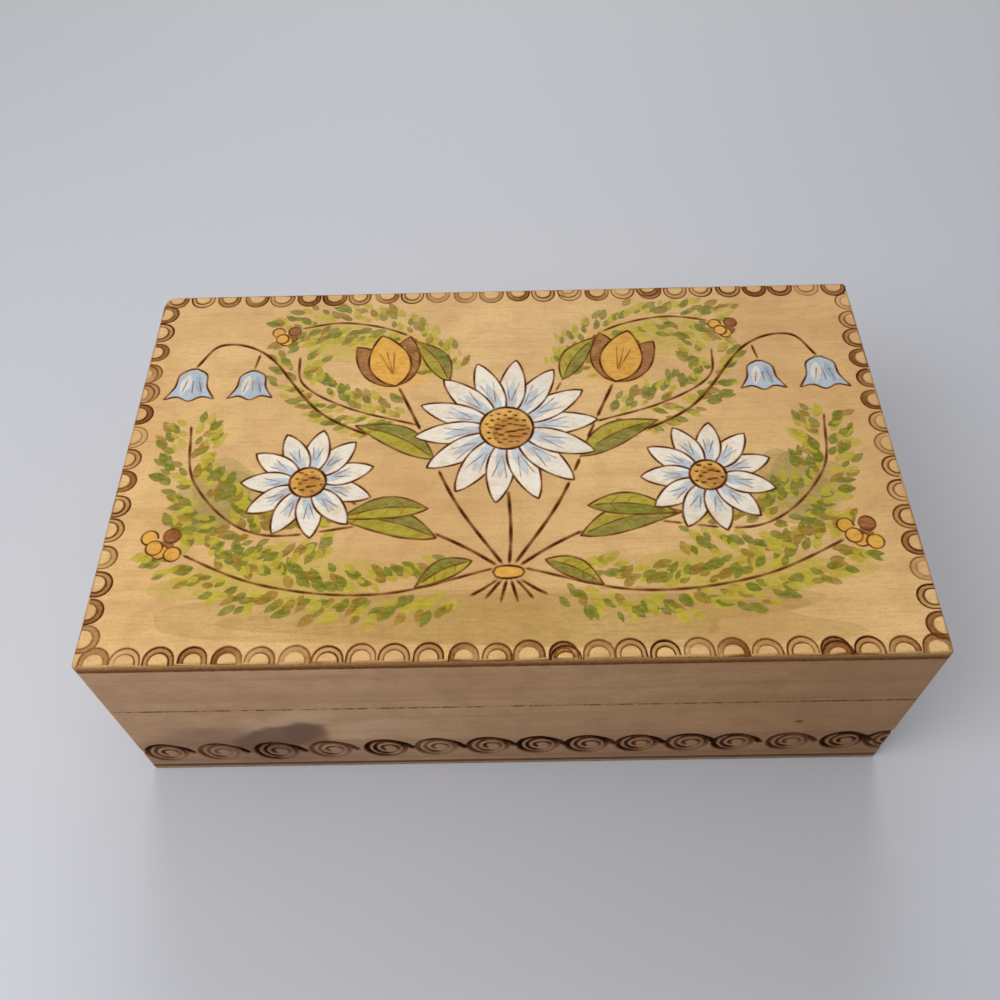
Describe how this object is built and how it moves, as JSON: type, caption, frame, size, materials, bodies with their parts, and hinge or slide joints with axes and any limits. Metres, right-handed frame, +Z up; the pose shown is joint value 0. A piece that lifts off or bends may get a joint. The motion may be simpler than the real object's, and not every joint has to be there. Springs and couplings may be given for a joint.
{
  "type": "hinged wooden jewelry box",
  "caption": "Rectangular wooden jewelry box: rabbeted tray and matching lid with a decorated top panel, joined by brass butt hinges in a bevelled back seam.",
  "frame": {"origin": "middle of the underside of the bottom panel", "axes": "+X along the front from left to right, +Y from the front to the hinged back, +Z up"},
  "size_m": [0.18, 0.108, 0.0574],
  "materials": {
    "lime_wood": "satin varnish over light stain",
    "top_panel_wood": "painted and burned ornament under satin varnish",
    "hinge_brass": "aged satin",
    "screw_brass": "aged satin"
  },
  "bodies": {
    "base": {"bottom_panel": "lime_wood", "base_front_wall": "lime_wood", "base_left_wall": "lime_wood", "base_right_wall": "lime_wood", "base_back_wall": "lime_wood", "hinge_left_base_leaf": "hinge_brass", "hinge_left_base_screw_left": "screw_brass", "hinge_left_base_screw_right": "screw_brass", "hinge_left_pin": "hinge_brass", "hinge_right_base_leaf": "hinge_brass", "hinge_right_base_screw_left": "screw_brass", "hinge_right_base_screw_right": "screw_brass", "hinge_right_pin": "hinge_brass"},
    "lid": {"lid_top_panel": "top_panel_wood", "lid_front_rail": "lime_wood", "lid_left_rail": "lime_wood", "lid_right_rail": "lime_wood", "lid_back_rail": "lime_wood", "hinge_left_lid_leaf": "hinge_brass", "hinge_left_lid_screw_left": "screw_brass", "hinge_left_lid_screw_right": "screw_brass", "hinge_right_lid_leaf": "hinge_brass", "hinge_right_lid_screw_left": "screw_brass", "hinge_right_lid_screw_right": "screw_brass"}
  },
  "joints": [
    {"name": "lid_hinge", "type": "hinge", "parent": "base", "child": "lid", "pos_m": [0, 0.052, 0.03465], "axis": [-1, 0, 0], "range_deg": [0, 98]}
  ]
}
